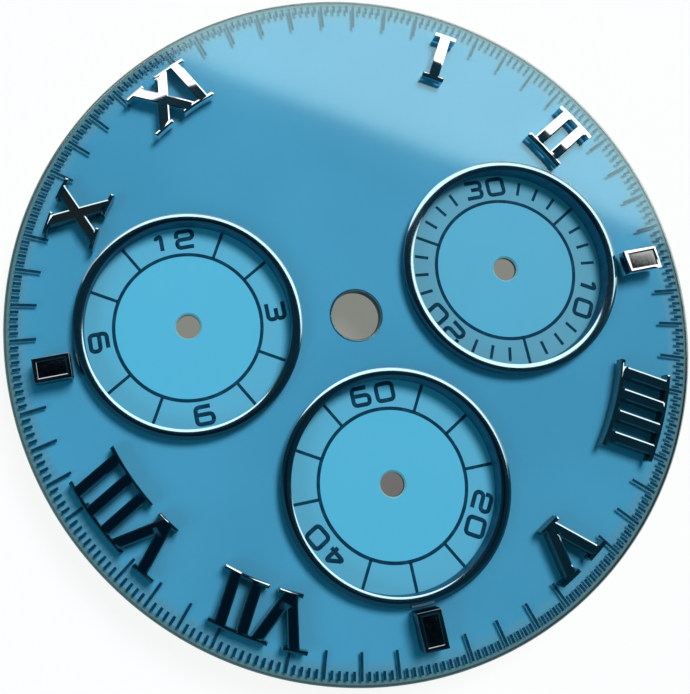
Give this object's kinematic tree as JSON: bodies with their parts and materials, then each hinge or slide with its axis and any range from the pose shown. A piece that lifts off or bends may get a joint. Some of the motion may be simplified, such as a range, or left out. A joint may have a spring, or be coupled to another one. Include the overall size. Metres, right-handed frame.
{
  "type": "watch dial",
  "caption": "Round ice-blue chronograph dial under a clear coat, with applied Roman hour markers, sunk counters in polished bevelled rings, and feet on its back.",
  "frame": {"origin": "axis of the centre bore, on the flat back of the plate that lies on the movement", "axes": "+Z out of the face along the centre bore, +Y towards 12 o'clock, +X towards 3 o'clock"},
  "size_m": [0.0295, 0.0294, 0.0031],
  "materials": {
    "dial_plate": "ice-blue paint on the front of a turned brass plate, bare on the back",
    "clear_coat": "thick clear polished coat with a navy printed minute track",
    "counter_face": "satin ice-blue paint with navy print",
    "polished_ring": "mirror polished",
    "polished_marker": "mirror polished with bevelled edges",
    "dial_foot": "turned copper, slightly dulled"
  },
  "bodies": {
    "root": {"dial_plate": "dial_plate", "clear_coat": "clear_coat", "hour_counter": "counter_face", "minute_counter": "counter_face", "second_counter": "counter_face", "hour_counter_ring": "polished_ring", "minute_counter_ring": "polished_ring", "second_counter_ring": "polished_ring", "numeral_1": "polished_marker", "numeral_2": "polished_marker", "numeral_4": "polished_marker", "numeral_5": "polished_marker", "numeral_7": "polished_marker", "numeral_8": "polished_marker", "numeral_10": "polished_marker", "numeral_11": "polished_marker", "block_3": "polished_marker", "block_6": "polished_marker", "block_9": "polished_marker", "dial_foot_upper": "dial_foot", "dial_foot_lower": "dial_foot"}
  },
  "joints": []
}
